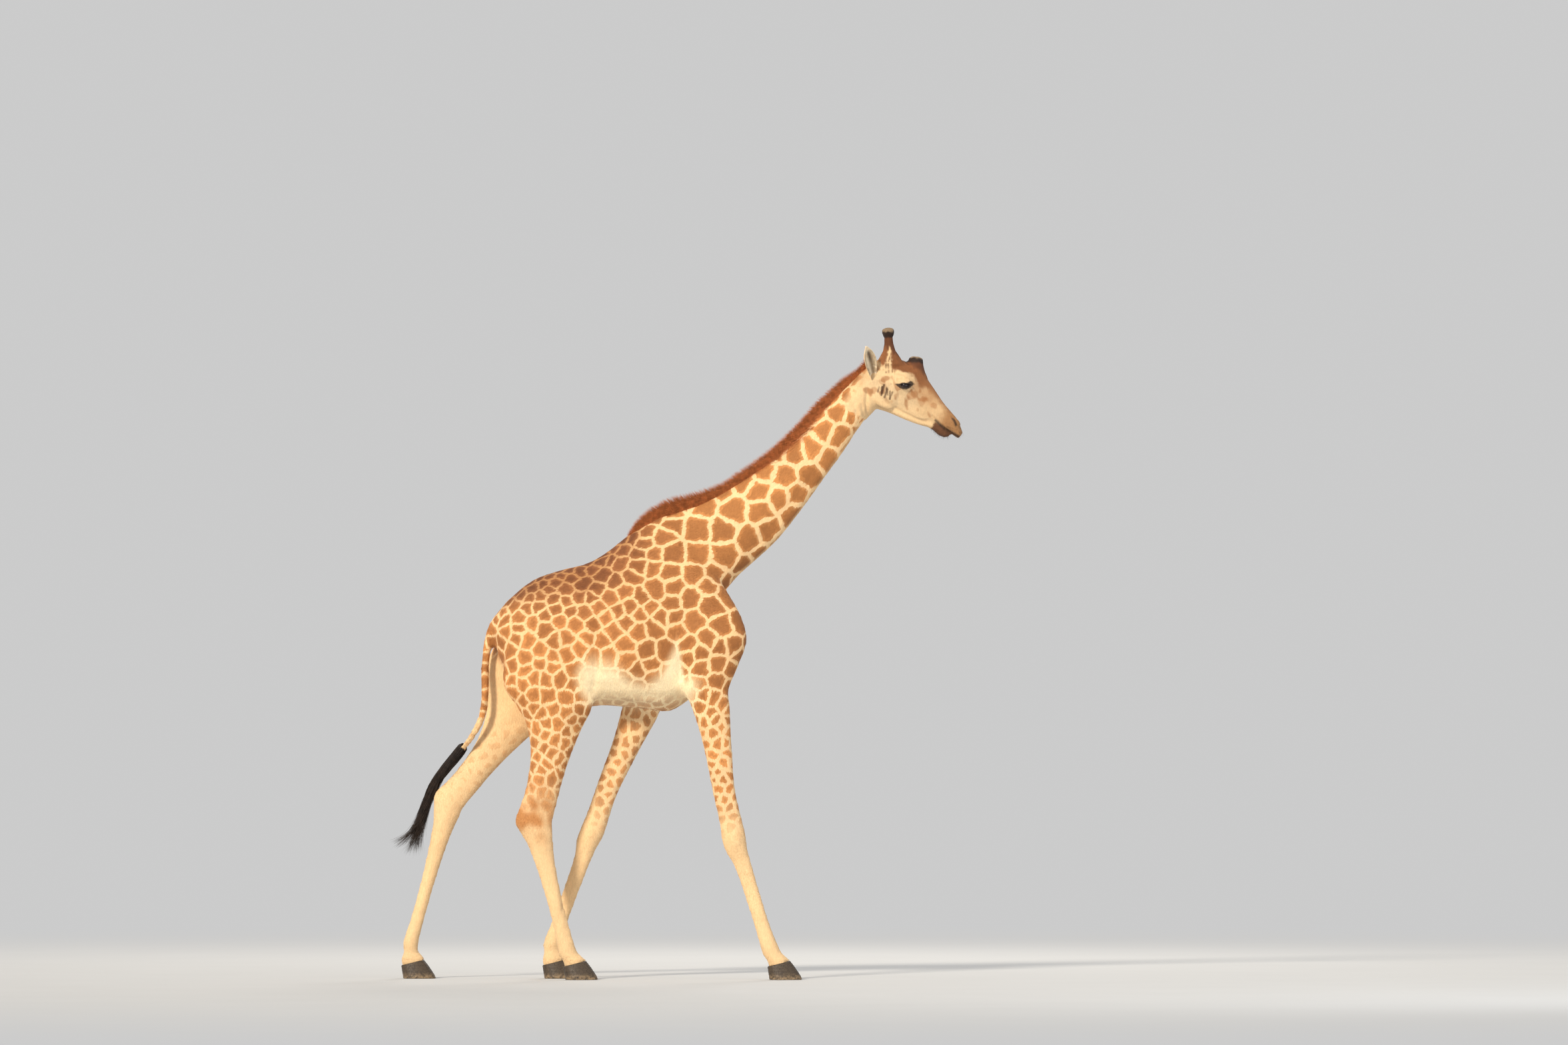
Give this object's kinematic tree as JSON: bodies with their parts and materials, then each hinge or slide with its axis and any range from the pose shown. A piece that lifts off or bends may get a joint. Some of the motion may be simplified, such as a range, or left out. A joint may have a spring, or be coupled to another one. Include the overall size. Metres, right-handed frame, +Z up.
{
  "type": "giraffe",
  "caption": "Still life-size giraffe in mid stride, neck stretched forward, with skin-covered horns, a short upright mane, a tufted tail and cloven hooves.",
  "frame": {"origin": "bottom centre of the box that holds the whole model, on the floor", "axes": "+X the way the animal walks, +Y to its left, +Z up"},
  "size_m": [3.4856, 0.6252, 4.0078],
  "materials": {
    "coat": "short flat hair, cream with tan polygons, plain cream below the knees and hocks",
    "mane": "stiff upright red-brown hair",
    "tuft": "long coarse near-black hair",
    "horn": "skin and short brown hair over bone, darker at the tip",
    "eye": "wet dark brown",
    "hoof": "grey-brown horn, worn at the edge"
  },
  "bodies": {
    "root": {"trunk": "coat", "neck": "coat", "head": "coat", "foreleg_right": "coat", "foreleg_left": "coat", "hindleg_right": "coat", "hindleg_left": "coat", "ear_right": "coat", "ear_left": "coat", "tail": "coat", "tail_tuft": "tuft", "mane": "mane", "horn_right": "horn", "horn_left": "horn", "horn_middle": "horn", "eye_right": "eye", "eye_left": "eye", "forehoof_right": "hoof", "forehoof_left": "hoof", "hindhoof_right": "hoof", "hindhoof_left": "hoof"}
  },
  "joints": []
}
